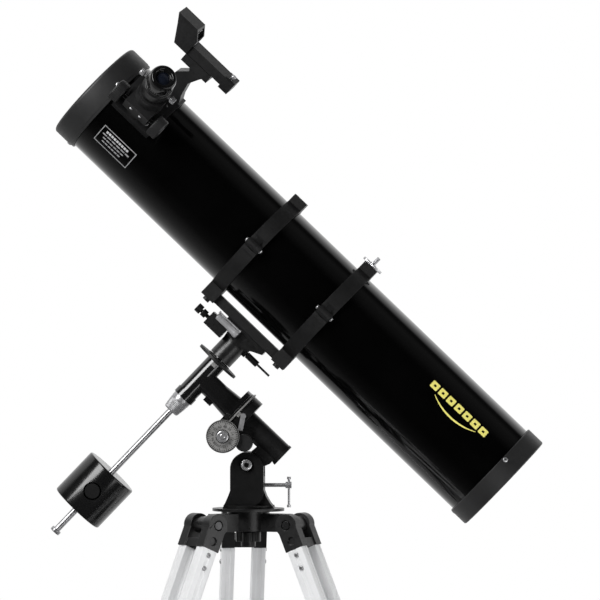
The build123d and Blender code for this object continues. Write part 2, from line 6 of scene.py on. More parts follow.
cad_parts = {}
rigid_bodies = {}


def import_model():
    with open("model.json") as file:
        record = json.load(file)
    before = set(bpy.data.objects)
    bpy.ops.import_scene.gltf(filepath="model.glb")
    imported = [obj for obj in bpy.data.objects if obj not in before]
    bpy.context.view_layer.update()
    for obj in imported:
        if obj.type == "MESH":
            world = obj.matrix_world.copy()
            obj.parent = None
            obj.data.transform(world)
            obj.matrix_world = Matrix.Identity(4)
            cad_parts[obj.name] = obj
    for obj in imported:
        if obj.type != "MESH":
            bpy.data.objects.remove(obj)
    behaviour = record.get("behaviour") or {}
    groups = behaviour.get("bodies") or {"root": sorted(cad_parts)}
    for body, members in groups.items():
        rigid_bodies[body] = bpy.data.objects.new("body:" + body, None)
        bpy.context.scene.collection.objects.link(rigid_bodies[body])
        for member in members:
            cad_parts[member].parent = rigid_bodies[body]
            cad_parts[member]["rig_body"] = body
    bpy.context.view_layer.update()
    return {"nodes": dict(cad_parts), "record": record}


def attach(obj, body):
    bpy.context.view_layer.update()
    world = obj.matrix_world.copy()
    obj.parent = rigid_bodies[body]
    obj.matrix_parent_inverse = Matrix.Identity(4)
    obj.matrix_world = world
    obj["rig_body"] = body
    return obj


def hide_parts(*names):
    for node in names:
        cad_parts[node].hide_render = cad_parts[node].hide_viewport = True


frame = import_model()
NODES = frame["nodes"]
scene = bpy.context.scene

# ------------------------------------------------------------------ geometry of the frame, millimetres
JOINT = {j["name"]: j for j in frame["record"]["behaviour"]["joints"]}
SX, SY = (1000 * v for v in JOINT["azimuth"]["pos_m"][:2])
H, LAT, CX, CZ = 700.0, 43.8, -69.9, 895.0
T = 200.0
AZ = {}
for n in ("left", "right", "rear"):
    px, py = (1000 * v for v in JOINT[f"leg_{n}_fold"]["pos_m"][:2])
    AZ[n] = degrees(atan2(py - SY, px - SX))
SPLAY, HINGE_R, HINGE_Z = 22.4, 77.0, 676.5
BRACE_S, BRACE_N, HUB_Z = 330.0, -34.0, 436.242


def loc(x=0, y=0, z=0):
    return Matrix.Translation((x, y, z))


def rot(a, ax):
    return Matrix.Rotation(radians(a), 4, ax)


W = Matrix.Scale(0.001, 4) @ loc(SX, SY, 0)                 # working frame, mm -> row frame, m
M = W @ loc(CX, 0, CZ) @ rot(LAT, "Y")                      # mount frame
TUBE = M @ loc(0, 0, T)


def around(angle, x=0.0):
    return TUBE @ loc(x, 0, 0) @ rot(90 - angle, "X")


def leg(n):
    return W @ loc(0, 0, HINGE_Z) @ rot(AZ[n], "Z") @ loc(HINGE_R, 0, 0) @ rot(-SPLAY, "Y")


# ------------------------------------------------------------------ materials
def nd(nt, kind, x=0, y=0, **kw):
    n = nt.nodes.new(kind)
    n.location = (x, y)
    for k, v in kw.items():
        setattr(n, k, v)
    return n


def ramp(nt, fac, stops):
    r = nd(nt, "ShaderNodeValToRGB")
    els = r.color_ramp.elements
    while len(els) > 1:
        els.remove(els[-1])
    els[0].position, els[0].color = stops[0][0], (*stops[0][1], 1)
    for p, c in stops[1:]:
        e = els.new(p)
        e.color = (*c, 1)
    nt.links.new(fac, r.inputs[0])
    return r.outputs[0]


def noise(nt, co, scale, detail=3.0, rough=0.55):
    n = nd(nt, "ShaderNodeTexNoise")
    n.inputs["Scale"].default_value = scale
    n.inputs["Detail"].default_value = detail
    n.inputs["Roughness"].default_value = rough
    nt.links.new(co, n.inputs["Vector"])
    return n.outputs["Fac"]


def span(nt, fac, lo, hi, a=0.3, b=0.7):
    m = nd(nt, "ShaderNodeMapRange")
    m.inputs["From Min"].default_value, m.inputs["From Max"].default_value = a, b
    m.inputs["To Min"].default_value, m.inputs["To Max"].default_value = lo, hi
    nt.links.new(fac, m.inputs["Value"])
    return m.outputs[0]


def material(name, dark, light, rough, metallic=0.0, grain=900.0, depth=0.1, dist=0.0002, cloud=22.0, stretch=None,
             coat=0.0, spec=0.5, speck=None, transmission=0.0, ior=1.5, axis=None):
    """colour varies from dark to light with a slow cloud, roughness with a middle one, and a fine grain is raised"""
    m = bpy.data.materials.new(name)
    m.use_nodes = True
    nt = m.node_tree
    bsdf = nt.nodes["Principled BSDF"]
    tc = nd(nt, "ShaderNodeTexCoord")
    co = tc.outputs["Object"]
    mp = nd(nt, "ShaderNodeMapping")
    nt.links.new(co, mp.inputs["Vector"])
    if axis is not None:
        mp.inputs["Rotation"].default_value = axis
    fine = co
    if stretch is not None:
        ms = nd(nt, "ShaderNodeMapping")
        ms.inputs["Scale"].default_value = stretch
        nt.links.new(mp.outputs[0], ms.inputs["Vector"])
        fine = ms.outputs[0]
    slow = noise(nt, co, cloud, 4.0)
    mid = noise(nt, co, cloud * 9, 5.0)
    if stretch is not None:
        mid = noise(nt, fine, cloud * 6, 4.0)
    col = ramp(nt, slow, [(0.32, dark), (0.68, light)])
    if speck:
        sp = noise(nt, co, grain * 0.8, 1.0)
        mx = nd(nt, "ShaderNodeMix", data_type="RGBA")
        nt.links.new(ramp(nt, sp, [(0.60, (0, 0, 0)), (0.72, (1, 1, 1))]), mx.inputs[0])
        nt.links.new(col, mx.inputs[6])
        mx.inputs[7].default_value = (*speck, 1)
        col = mx.outputs[2]
    nt.links.new(col, bsdf.inputs["Base Color"])
    nt.links.new(span(nt, mid, rough[0], rough[1]), bsdf.inputs["Roughness"])
    g = noise(nt, fine, grain, 3.0, 0.6)
    b = nd(nt, "ShaderNodeBump")
    b.inputs["Strength"].default_value = depth
    b.inputs["Distance"].default_value = dist
    nt.links.new(g, b.inputs["Height"])
    nt.links.new(b.outputs[0], bsdf.inputs["Normal"])
    bsdf.inputs["Metallic"].default_value = metallic
    bsdf.inputs["Specular IOR Level"].default_value = spec
    bsdf.inputs["IOR"].default_value = ior
    bsdf.inputs["Coat Weight"].default_value = coat
    bsdf.inputs["Coat Roughness"].default_value = 0.06
    bsdf.inputs["Transmission Weight"].default_value = transmission
    return m


def grey(v):
    return (v, v, v * 1.02)


AXL = (0, radians(-LAT), 0)
MAT = {
    "tube": material("gloss_black_enamel", grey(0.0007), grey(0.0014), (0.07, 0.12), grain=420, depth=0.03, dist=0.00004, cloud=9),
    "tube_inner": material("flocked_black", grey(0.006), grey(0.011), (0.85, 0.95), grain=2600, depth=0.5, dist=0.0003, cloud=30, spec=0.2),
    "cast": material("textured_black_casting", grey(0.005), grey(0.009), (0.44, 0.58), grain=1500, depth=0.5, dist=0.0003, cloud=40, speck=grey(0.022), spec=0.35),
    "cast_dark": material("dark_casting", grey(0.003), grey(0.006), (0.36, 0.48), grain=1300, depth=0.25, dist=0.0002, cloud=38, spec=0.3),
    "cast_smooth": material("black_enamel_casting", grey(0.006), grey(0.011), (0.26, 0.40), grain=900, depth=0.2, dist=0.00016, cloud=35),
    "plastic": material("moulded_black_plastic", grey(0.008), grey(0.014), (0.34, 0.46), grain=2400, depth=0.22, dist=0.0001, cloud=30),
    "end_ring": material("satin_dark_plastic", grey(0.013), grey(0.020), (0.42, 0.52), grain=2600, depth=0.2, dist=0.0001, cloud=18),
    "gloss_plastic": material("polished_black_plastic", grey(0.004), grey(0.007), (0.08, 0.16), grain=700, depth=0.05, dist=0.00005, cloud=30),
    "chrome": material("bright_chrome", grey(0.52), grey(0.64), (0.22, 0.32), 0.75, grain=1800, depth=0.04, dist=0.00004, cloud=60),
    "steel": material("polished_steel", grey(0.34), grey(0.46), (0.26, 0.31), 0.8, grain=300, depth=0.01, dist=0.00001, cloud=50, stretch=(1, 1, 0.04), axis=AXL),
    "steel_dark": material("blackened_steel", grey(0.05), grey(0.09), (0.25, 0.38), 0.9, grain=900, depth=0.15, dist=0.00008, cloud=60),
    "disc_silver": material("satin_silver", (0.24, 0.238, 0.232), (0.38, 0.376, 0.368), (0.34, 0.46), 0.35, grain=1500, depth=0.25, dist=0.0001, cloud=90),
    "gloss_cast": material("polished_black_casting", grey(0.005), grey(0.009), (0.12, 0.15), grain=400, depth=0.012, dist=0.00002, cloud=15, spec=0.8),
    "lever_grey": material("worn_nickel", grey(0.34), grey(0.46), (0.30, 0.42), 0.6, grain=1500, depth=0.2, dist=0.0001, cloud=90),
    "aluminium": material("anodised_aluminium", (0.88, 0.885, 0.89), (0.94, 0.945, 0.95), (0.40, 0.52), 0.15, grain=1400, depth=0.12, dist=0.00006, cloud=25, stretch=(1, 1, 0.03)),
    "iron": material("enamelled_iron", grey(0.005), grey(0.009), (0.16, 0.19), grain=400, depth=0.012, dist=0.00002, cloud=12),
    "barrel": material("turned_nickel", grey(0.42), grey(0.55), (0.26, 0.36), 0.45, grain=1500, depth=0.15, dist=0.00008, cloud=60, stretch=(1, 1, 0.05), axis=AXL),
    "brass": material("cut_brass", (0.60, 0.44, 0.20), (0.74, 0.56, 0.28), (0.25, 0.38), 1.0, grain=1500, depth=0.1, dist=0.00005, cloud=60),
    "mirror": material("aluminised_mirror", grey(0.88), grey(0.92), (0.01, 0.03), 1.0, grain=200, depth=0.01, dist=0.00001, cloud=8),
    "glass": material("coated_glass", (0.72, 0.80, 0.86), (0.80, 0.86, 0.90), (0.01, 0.04), grain=300, depth=0.01, dist=0.00001, transmission=1.0, ior=1.45),
    "lens": material("eye_lens", (0.006, 0.008, 0.014), (0.012, 0.015, 0.024), (0.01, 0.03), grain=200, depth=0.01, dist=0.00001, coat=1.0, spec=0.8),
    "rubber": material("black_rubber", grey(0.012), grey(0.020), (0.62, 0.78), grain=1700, depth=0.35, dist=0.0002, cloud=40),
    "ink_white": material("white_ink", grey(0.42), grey(0.55), (0.45, 0.60), grain=1500, depth=0.06, dist=0.00003, cloud=200, spec=0.3),
    "ink_grey": material("grey_ink", grey(0.22), grey(0.32), (0.45, 0.60), grain=1500, depth=0.06, dist=0.00003, cloud=200, spec=0.3),
    "ink_yellow": material("yellow_ink", (0.86, 0.79, 0.18), (0.93, 0.86, 0.24), (0.40, 0.52), grain=1500, depth=0.06, dist=0.00003, cloud=120, spec=0.3),
    "floor": material("pale_floor", grey(0.78), grey(0.84), (0.55, 0.65), grain=60, depth=0.02, dist=0.0005, cloud=1.5),
}


# ------------------------------------------------------------------ mesh code
def lathe(profile, n=64, closed=False):
    """profile of (r, z) turned about z; closed joins last point to first"""
    vs, rings, fs = [], [], []
    for r, z in profile:
        if r < 1e-9:
            rings.append([len(vs)])
            vs.append((0, 0, z))
        else:
            rings.append(list(range(len(vs), len(vs) + n)))
            for i in range(n):
                a = 2 * pi * i / n
                vs.append((r * cos(a), r * sin(a), z))
    pairs = list(zip(rings, rings[1:]))
    if closed:
        pairs.append((rings[-1], rings[0]))
    for a, b in pairs:
        for i in range(n):
            j = (i + 1) % n
            if len(a) == 1 and len(b) == 1:
                continue
            if len(a) == 1:
                fs.append((a[0], b[i], b[j]))
            elif len(b) == 1:
                fs.append((a[i], b[0], a[j])[::-1] if False else (a[j], a[i], b[0]))
            else:
                fs.append((a[j], a[i], b[i], b[j]))
    return vs, fs


def soft(profile, r, closed=False, seg=3):
    """the profile with its corners rounded to radius r (or a list of radii)"""
    n, out = len(profile), []
    for i, p in enumerate(profile):
        rr = r[i] if isinstance(r, (list, tuple)) else r
        if (not closed and i in (0, n - 1)) or rr <= 0:
            out.append(p)
            continue
        a, b = profile[i - 1], profile[(i + 1) % n]
        ua = (a[0] - p[0], a[1] - p[1])
        ub = (b[0] - p[0], b[1] - p[1])
        la, lb = hypot(*ua), hypot(*ub)
        if la < 1e-6 or lb < 1e-6:
            out.append(p)
            continue
        d = min(rr, la * 0.45, lb * 0.45)
        pa = (p[0] + ua[0] / la * d, p[1] + ua[1] / la * d)
        pb = (p[0] + ub[0] / lb * d, p[1] + ub[1] / lb * d)
        for k in range(seg + 1):
            t = k / seg
            out.append(((1 - t) ** 2 * pa[0] + 2 * t * (1 - t) * p[0] + t * t * pb[0],
                        (1 - t) ** 2 * pa[1] + 2 * t * (1 - t) * p[1] + t * t * pb[1]))
    return out


def rod(r, z0, z1, edge=0.5, n=48):
    return lathe(soft([(0, z0), (r, z0), (r, z1), (0, z1)], edge), n)


def ring(ri, ro, z0, z1, edge=0.4, n=64):
    return lathe(soft([(ri, z0), (ro, z0), (ro, z1), (ri, z1)], edge, True), n, True)


def prism(outline, z0, z1):
    n = len(outline)
    vs = [(x, y, z0) for x, y in outline] + [(x, y, z1) for x, y in outline]
    fs = [tuple(range(n))[::-1], tuple(range(n, 2 * n))]
    fs += [(i, (i + 1) % n, n + (i + 1) % n, n + i) for i in range(n)]
    return vs, fs


def hollow(outline, inner, z0, z1):
    """prism with a hole of the same point count"""
    n = len(outline)
    vs = [(x, y, z) for z in (z0, z1) for o in (outline, inner) for x, y in o]
    fs = []
    for i in range(n):
        j = (i + 1) % n
        fs.append((i, j, 2 * n + j, 2 * n + i))
        fs.append((n + j, n + i, 3 * n + i, 3 * n + j))
        fs.append((j, i, n + i, n + j))
        fs.append((2 * n + i, 2 * n + j, 3 * n + j, 3 * n + i))
    return vs, fs


def bx(x0, x1, y0, y1, z0, z1):
    return prism([(x0, y0), (x1, y0), (x1, y1), (x0, y1)], z0, z1)


def put(vf, mat):
    return [tuple(mat @ Vector(v)) for v in vf[0]], vf[1]


def join(*vfs):
    vs, fs = [], []
    for v, f in vfs:
        k = len(vs)
        vs += v
        fs += [tuple(i + k for i in q) for q in f]
    return vs, fs


def knurl(r, z0, z1, depth=0.5, count=40, edge=0.8):
    """a grip turned with flutes around it"""
    n = count * 4
    prof = [(0, z0), (r - edge, z0), (r, z0 + edge), (r, z1 - edge), (r - edge, z1), (0, z1)]
    vs, fs = lathe(prof, n)
    out = []
    for x, y, z in vs:
        rr = hypot(x, y)
        if rr > r - edge * 0.5:
            a = atan2(y, x)
            k = (rr - depth * (0.5 - 0.5 * cos(a * count))) / rr
            x, y = x * k, y * k
        out.append((x, y, z))
    return out, fs


def flip_check(me):
    import bmesh
    bm = bmesh.new()
    bm.from_mesh(me)
    bmesh.ops.recalc_face_normals(bm, faces=bm.faces)
    bm.to_mesh(me)
    bm.free()


def cut(a, b):
    """mesh a with mesh b taken out of it"""
    obs = []
    for vf in (a, b):
        me = bpy.data.meshes.new("solid")
        me.from_pydata(vf[0], [], vf[1])
        flip_check(me)
        ob = bpy.data.objects.new("solid", me)
        scene.collection.objects.link(ob)
        obs.append(ob)
    m = obs[0].modifiers.new("cut", "BOOLEAN")
    m.operation, m.object, m.solver = "DIFFERENCE", obs[1], "EXACT"
    dg = bpy.context.evaluated_depsgraph_get()
    me = bpy.data.meshes.new_from_object(obs[0].evaluated_get(dg))
    vf = ([tuple(v.co) for v in me.vertices], [tuple(q.vertices) for q in me.polygons])
    bpy.data.meshes.remove(me)
    for ob in obs:
        mesh = ob.data
        bpy.data.objects.remove(ob)
        bpy.data.meshes.remove(mesh)
    return vf


def piece(name, vf, mx, mat, body, bevel=0.0, segs=2, angle=34, replaces=()):
    me = bpy.data.meshes.new(name)
    me.from_pydata([tuple(mx @ Vector(v)) for v in vf[0]], [], vf[1])
    me.validate()
    flip_check(me)
    me.materials.append(MAT[mat])
    me.shade_smooth()
    me.set_sharp_from_angle(angle=radians(angle))
    ob = bpy.data.objects.new(name, me)
    scene.collection.objects.link(ob)
    if bevel:
        b = ob.modifiers.new("edges", "BEVEL")
        b.width, b.segments, b.limit_method, b.angle_limit = bevel * 0.001, segs, "ANGLE", radians(angle)
        b.use_clamp_overlap = True
        b.harden_normals = True
    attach(ob, body)
    if replaces:
        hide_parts(*replaces)
    return ob


BODY = {n: o["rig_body"] for n, o in NODES.items()}


def dress(node, mat, bevel=0.5, angle=30, segs=2):
    """a CAD node keeps its shape: material, merged flats, eased edges and even shading"""
    o = NODES[node]
    me = o.data
    me.materials.clear()
    me.materials.append(MAT[mat])
    for p in me.polygons:
        p.use_smooth = True
    w = o.modifiers.new("weld", "WELD")
    w.merge_threshold = 1e-6
    d = o.modifiers.new("flats", "DECIMATE")
    d.decimate_type = "DISSOLVE"
    d.angle_limit = radians(0.4)
    if bevel:
        b = o.modifiers.new("edges", "BEVEL")
        b.width, b.segments, b.limit_method, b.angle_limit = bevel * 0.001, segs, "ANGLE", radians(angle)
        b.use_clamp_overlap = True
        b.miter_outer = "MITER_ARC"
    n = o.modifiers.new("normals", "WEIGHTED_NORMAL")
    n.keep_sharp = True
    if not bevel:
        me.set_sharp_from_angle(angle=radians(angle))
    return o


# ------------------------------------------------------------------ screws
def pan_head(r, h, slot_w=0.28):
    """domed head, bottom at z = 0, with a black cross set into its top as painted shade where the cross recess would be
    """
    dome = [(0, -0.6), (r, -0.6), (r, h * 0.35), (r * 0.86, h * 0.78), (r * 0.5, h), (0, h * 1.03)]
    base = lathe(soft(dome, [0, 0.2, 0.2, 0.3, 0.3, 0]), 28)
    bars = [put(bx(-r * 0.55, r * 0.55, -r * 0.09, r * 0.09, h * 0.6, h * 1.06), rot(a, "Z")) for a in (45, 135)]
    return base, join(*bars)


def screw(name, mx, body, r=3.0, h=2.0, mat="chrome"):
    head, cross = pan_head(r, h)
    piece(name, head, mx, mat, body)
    # the black cross on the head is painted shade standing in for the recess
    piece(name + "_recess_painted_shade", cross, mx, "plastic", body, bevel=0.08)


def hex_head(r, h):
    o = [(r * cos(radians(60 * i)), r * sin(radians(60 * i))) for i in range(6)]
    return prism(o, -0.5, h)


# ================================================================== optical tube
def patch(a0, a1, x0, x1, r0=80.02, r1=80.22, n=14, taper=None, nx=1):
    """thin curved plate on the tube between two angles (measured from the camera side) and two stations"""
    vs, fs = [], []
    for i in range(nx + 1):
        x = x0 + (x1 - x0) * i / nx
        lo, hi = a0, a1
        if taper:
            lo, hi = taper(i / nx, a0, a1)
        for k in range(n + 1):
            a = radians(lo + (hi - lo) * k / n)
            for r in (r0, r1):
                vs.append((x, -r * cos(a), r * sin(a)))
    row = 2 * (n + 1)
    for i in range(nx):
        for k in range(n):
            p = i * row + 2 * k
            q = p + row
            fs.append((p, p + 2, q + 2, q))
            fs.append((p + 1, q + 1, q + 3, p + 3))
        p, q = i * row, (i + 1) * row
        fs.append((p, q, q + 1, p + 1))
        p, q = i * row + 2 * n, (i + 1) * row + 2 * n
        fs.append((p, p + 1, q + 1, q))
    for p in (0, nx * row):
        for k in range(n):
            a = p + 2 * k
            fs.append((a, a + 1, a + 3, a + 2))
    return vs, fs


def tube_patch(name, a0, a1, x0, x1, mat, slot, **kw):
    return piece(name, patch(a0, a1, x0, x1, **kw), TUBE, mat, "tube", angle=60)


dress("main_tube", "tube", 0, 25)
# blackened lining just inside the wall, so only the outside is glossy
lin = lathe([(78.7, -394.5), (78.7, -363), (78.7, 419.5), (78.55, 419.5), (78.55, -394.5)], 128, True)

# information plate near the mouth: outline and plain bars
A0, A1, X0, X1 = -39.0, -17.0, -361.5, -296.5
for nm, a0, a1, x0, x1 in (("a", A0, A1, X0, X0 + 1.3), ("b", A0, A1, X1 - 1.3, X1), ("c", A0, A0 + 0.95, X0, X1), ("d", A1 - 0.95, A1, X0, X1)):
    tube_patch(f"plate_edge_{nm}", a0, a1, x0, x1, "ink_grey", "chrome")
for i, (a, h, x0, x1, step, gap, m) in enumerate(((-21.6, 2.5, -353, -305, 5.0, 1.2, "ink_white"), (-25.6, 1.5, -356, -302, 9.0, 1.4, "ink_grey"),
                                                  (-29.4, 1.5, -352, -306, 7.0, 1.3, "ink_grey"), (-33.4, 1.5, -350, -312, 6.2, 1.2, "ink_grey"))):
    row, x = [], x0
    while x + step - gap <= x1:
        row.append(patch(a - h / 2, a + h / 2, x, x + step - gap, n=3))
        x += step
    piece(f"plate_dashes_{i}", join(*row), TUBE, m, "tube", angle=60)

# plain yellow mark near the rear: a row of open blocks over a thin crescent
blocks = []
for i in range(7):
    x0 = 254.0 + 16.4 * i
    x1 = x0 + 13.4
    e = 1.1

    def rounded(t, a, b, x0=x0):
        u = min(t, 1 - t) * 13.4
        k = 0.0 if u > e else (1 - u / e) * 0.8
        return a + k, b - k
    blocks.append(patch(22.3, 25.3, x0, x1, taper=rounded, nx=26, n=4))
    blocks.append(patch(27.9, 30.9, x0, x1, taper=rounded, nx=26, n=4))
    blocks.append(patch(25.3, 27.9, x0, x0 + 4.7, n=3))
    blocks.append(patch(25.3, 27.9, x1 - 4.7, x1, n=3))
piece("mark_blocks", join(*blocks), TUBE, "ink_yellow", "tube", angle=60)


def crescent(t, a, b):
    mid = 12.7 + 7.0 * abs(2 * t - 0.96) ** 2.1
    w = 0.25 + 0.75 * sin(pi * t) ** 0.7
    return mid - w, mid + w


piece("mark_crescent", patch(0, 1, 269, 351, taper=crescent, nx=40, n=4), TUBE, "ink_yellow", "tube", angle=60)

# front end ring: moulded, with a stepped lip
fr = lathe(soft([(74, 0), (81.2, 0), (84, 2.8), (84, 33.5), (83.2, 34.6), (83.2, 38), (80.05, 38), (80.05, 23), (74, 23)],
                [0.8, 1.5, 2.0, 0.5, 0.3, 0.5, 0.3, 0.3, 0.6], True), 160, True)
piece("front_end_ring", fr, TUBE @ loc(-418, 0, 0) @ rot(90, "Y"), "end_ring", "tube", replaces=("front_ring",))
dress("mirror_cell", "end_ring", 0.8, 35)
for i, (x, a) in enumerate([(-389, 23), (-389, -97), (-389, 143), (411.5, 20), (411.5, -100), (411.5, 140)]):
    screw(f"tube_screw_{i}", around(a, x) @ loc(0, 0, 84.0 if x < 0 else 84.0), "tube", 3.9, 2.2)
dress("primary_mirror", "mirror", 0.6)
dress("secondary_mirror", "mirror", 0)
dress("spider", "tube_inner", 0)
o = piece("tube_lining", lin, TUBE @ rot(90, "Y"), "tube_inner", "tube")

# ================================================================== focuser
F = around(27.0, -339.0)
dress("focuser_base", "plastic", 1.0, 35)
# sleeve of the drawtube with its lock ring, in black enamel
piece("draw_sleeve", lathe(soft([(16.0, 66), (19.0, 66), (19.0, 149), (21.6, 149.5), (22.4, 151), (22.4, 166), (21, 167.8), (16.0, 168)], 0.5, True), 96, True),
      F, "cast_smooth", "drawtube", replaces=("drawtube",))
for s in (-1, 1):
    k = put(join(put(knurl(4.9, 4.5, 12, 0.35, 18, 0.5), Matrix.Identity(4)), rod(2.6, -1.5, 5, 0.2, 20)), loc(s * 22, 0, 160) @ rot(90 * s, "Y"))
    piece(f"eyepiece_thumbscrew_{s + 1}", k, F, "chrome", "drawtube")
# pinion shaft with two grooved knobs
kn = []
for s in (-1, 1):
    g = lathe(soft([(0, 0), (16.0, 0), (17.0, 1.2), (17.0, 14), (15.8, 15.6), (9, 15.8), (8.2, 14.6), (3.4, 14.6), (3.0, 15.2), (0, 15.3)], [0, .5, .5, .6, .6, .5, .5, .3, .3, 0]), 120)
    vs = []
    for x, y, z in g[0]:
        rr = hypot(x, y)
        if rr > 16.2 and 1 < z < 14.4:
            a = atan2(y, x)
            kf = (rr - 0.45 * max(0.0, cos(a * 30))) / rr
            x, y = x * kf, y * kf
        vs.append((x, y, z))
    kn.append(put((vs, g[1]), loc(s * 31.2, -24, 108) @ rot(90 * s, "Y")))
kn.append(put(rod(3.0, -40, 40, 0.3, 32), loc(0, -24, 108) @ rot(90, "Y")))
piece("focus_knob_pair", join(*kn), F, "plastic", "focus_knobs", replaces=("focus_knobs",))
for s in (-1, 1):
    piece(f"focus_knob_cap_{s + 1}", put(lathe(soft([(0, 0), (7.4, 0), (7.4, 0.8), (0, 1.0)], 0.2), 40), loc(s * 46.0, -24, 108) @ rot(90 * s, "Y")), F, "chrome", "focus_knobs")
# screws of the focuser flange and the pinion block
for i, (a, r) in enumerate(((45, 31), (135, 31), (225, 31), (315, 31))):
    x, y = r * cos(radians(a)), r * sin(radians(a))
    ztop = 86.0
    screw(f"focuser_screw_{i}", F @ loc(x, y, ztop), "tube", 3.0, 1.8)
for i, x in enumerate((-9, 9)):
    screw(f"pinion_screw_{i}", F @ loc(x, -32, 109) @ rot(90, "X"), "tube", 2.4, 1.5)
# eyepiece: barrel, ribbed grip, eye cup and lens
ep = [(14, 140), (15.9, 140), (15.9, 168.2), (20.4, 168.4), (20.4, 171.5), (19.6, 172.0), (19.6, 179.5), (21.0, 180.2), (20.6, 190), (19.4, 195.6), (17.6, 198), (13.4, 198), (10.2, 192.4), (10.2, 190), (14, 189)]
g = lathe(soft(ep, [.3, .4, .3, .5, .5, .4, .4, .5, .8, .8, .9, .9, .4, 0, 0], True), 128, True)
vs = []
for x, y, z in g[0]:
    rr = hypot(x, y)
    if 18.5 < rr and 172.3 < z < 179.4:
        a = atan2(y, x)
        kf = (rr - 0.4 * max(0.0, cos(a * 32))) / rr
        x, y = x * kf, y * kf
    vs.append((x, y, z))
piece("eyepiece_body", (vs, g[1]), F, "gloss_plastic", "eyepiece", replaces=("eyepiece",))
piece("eyepiece_lens", lathe([(0, 189.6), (10.3, 189.6), (10.3, 191.6), (7.4, 193.0), (3.6, 193.8), (0, 194.0)], 48), F, "lens", "eyepiece")

# ================================================================== finder
dress("finder_bracket", "plastic", 0.7, 35)
dress("finder_body", "plastic", 1.0, 35)
dress("finder_window", "glass", 0)
FN = around(63.5, 0.0)
piece("finder_base_screw", put(join(knurl(4.8, 2, 9, 0.35, 18, 0.5), rod(2.0, -3, 3, 0.2, 16)), loc(-345.5, 0, 96) @ rot(-90, "Y")), FN, "chrome", "tube")
piece("finder_dial", put(knurl(6.3, 0.4, 6.2, 0.4, 22, 0.7), loc(-272, 12, 166) @ rot(-90, "X")), FN, "plastic", "tube")
piece("finder_adjuster", put(knurl(4.0, 0, 4.0, 0.3, 18, 0.5), loc(-272, 0, 176)), FN, "chrome", "tube")

piece("finder_lens_rim", put(bx(-349.2, -346.2, -11.5, 11.5, 177.5, 179), loc()), FN, "chrome", "tube", bevel=0.3)
piece("finder_lens_edge", put(join(bx(-347.6, -346.3, -11.5, -10.3, 178, 186), bx(-347.6, -346.3, 10.3, 11.5, 178, 186)), loc()), FN, "chrome", "tube", bevel=0.25)

# ================================================================== tube rings and bar
for n in ("ring_lower_halves", "ring_front_upper", "ring_rear_upper"):
    dress(n, "cast", 0.7, 32)
dress("mounting_bar", "cast", 0.8, 32)
for nme, x in (("front", -77.0), ("rear", 68.0)):
    for s in (-1, 1):
        cap = put(lathe(soft([(0, 0), (3.6, 0), (3.6, 1.6), (2.6, 2.7), (0, 3.1)], 0.4), 28), loc(x + s * 12.6, -92, T) @ rot(90 * s, "Y"))
        piece(f"hinge_pin_{nme}_{s + 1}", cap, M, "chrome", "dec_axis")
    piece(f"foot_bolt_{nme}", put(join(hex_head(5.6, 6.2), rod(7.0, 6.0, 7.4, 0.3, 32)), loc(x, 0, 88)), M, "chrome", "dec_axis", bevel=0.4)
    kn = knurl(12.0, 19, 33, 0.9, 16, 1.4)
    st = join(put(kn, loc(x, 97, T)), put(rod(7, 14.2, 19.2, 0.4, 32), loc(x, 97, T)), put(rod(3, -16, 15, 0.4, 24), loc(x, 97, T)))
    piece(f"clamp_knob_{nme}", st, M, "plastic", f"ring_{nme}_knob", replaces=(f"ring_{nme}_knob",))
xr = 68.0
pg = join(knurl(17.5, 97.2, 101.4, 0.5, 48, 0.6), rod(3.0, 91, 98, 0.2, 24), rod(5.2, 101.2, 102.6, 0.4, 32))
thread = [(0, 101)]
for i in range(12):
    thread += [(3.175, 102.6 + i * 0.95), (2.75, 103.05 + i * 0.95)]
thread += [(2.6, 114), (0, 114)]
piece("piggyback_disc", join(pg, lathe(thread, 32)), M @ loc(xr, 0, T), "chrome", "piggyback_screw", replaces=("piggyback_screw",))

# ================================================================== mount head
dress("mount_base", "cast_dark", 0.9, 32)
hexs = prism([(4.2 * cos(radians(60 * k + 30)), 4.2 * sin(radians(60 * k + 30))) for k in range(6)], 27.2, 40)
head = cut(lathe(soft([(0, -31), (8.2, -31), (8.2, -24), (5, -24), (5, 24), (8.2, 24), (8.2, 33), (6.6, 33), (6.0, 32.2), (0, 32.2)], [0, .6, .3, .2, .2, .3, .8, .4, .2, 0]), 96), hexs)
piece("altitude_bolt_head", head, W @ loc(-1.2, 0, H + 65.4) @ rot(90, "X"), "chrome", "mount_base", replaces=("altitude_bolt",))
# flat flocked-black hex at the bottom of the bolt's socket: painted shade in the recess
piece("altitude_bolt_socket_painted_shade", prism([(4.15 * cos(radians(60 * k + 30)), 4.15 * sin(radians(60 * k + 30))) for k in range(6)], 27.0, 27.5), W @ loc(-1.2, 0, H + 65.4) @ rot(90, "X"), "tube_inner", "mount_base")
dress("latitude_screw", "chrome", 0.4, 40)
dress("polar_housing", "cast_smooth", 0.9, 32)
dress("ra_worm_wheel", "brass", 0)
dress("ra_setting_circle", "cast_smooth", 0.4, 35)
dress("ra_lock_lever", "lever_grey", 0.8, 35)
dress("dec_housing", "gloss_cast", 0.9, 32)
dress("dec_setting_circle", "cast", 0.7, 35)
dress("dec_saddle", "cast_smooth", 0.9, 32)
dress("dec_slow_motion", "steel_dark", 0.5, 35)
dress("dec_lock", "steel_dark", 0.4, 35)
piece("weight_shaft", lathe(soft([(0, -321), (7.2, -321), (8, -320.2), (8, -315.8), (7.4, -315), (5, -315), (5, -30.6), (0, -30.6)], [0, .5, .5, .4, .3, .3, 0, 0]), 96), M, "steel", "dec_head", replaces=("counterweight_shaft",))

# graduated circles: raised marks, dark on the silver RA band and light grey on the black Dec circle
WX = 84.6


def marks(name, mx, r0, r1, z, count, body, mat="ink_white", w=0.35, long_every=5, long=1.6, h=0.12):
    out = []
    for i in range(count):
        ra = r0 - (long if i % long_every == 0 else 0)
        out.append(put(bx(ra, r1, -w / 2, w / 2, z, z + h), rot(360.0 * i / count, "Z")))
    piece(name, join(*out), mx, mat, body)


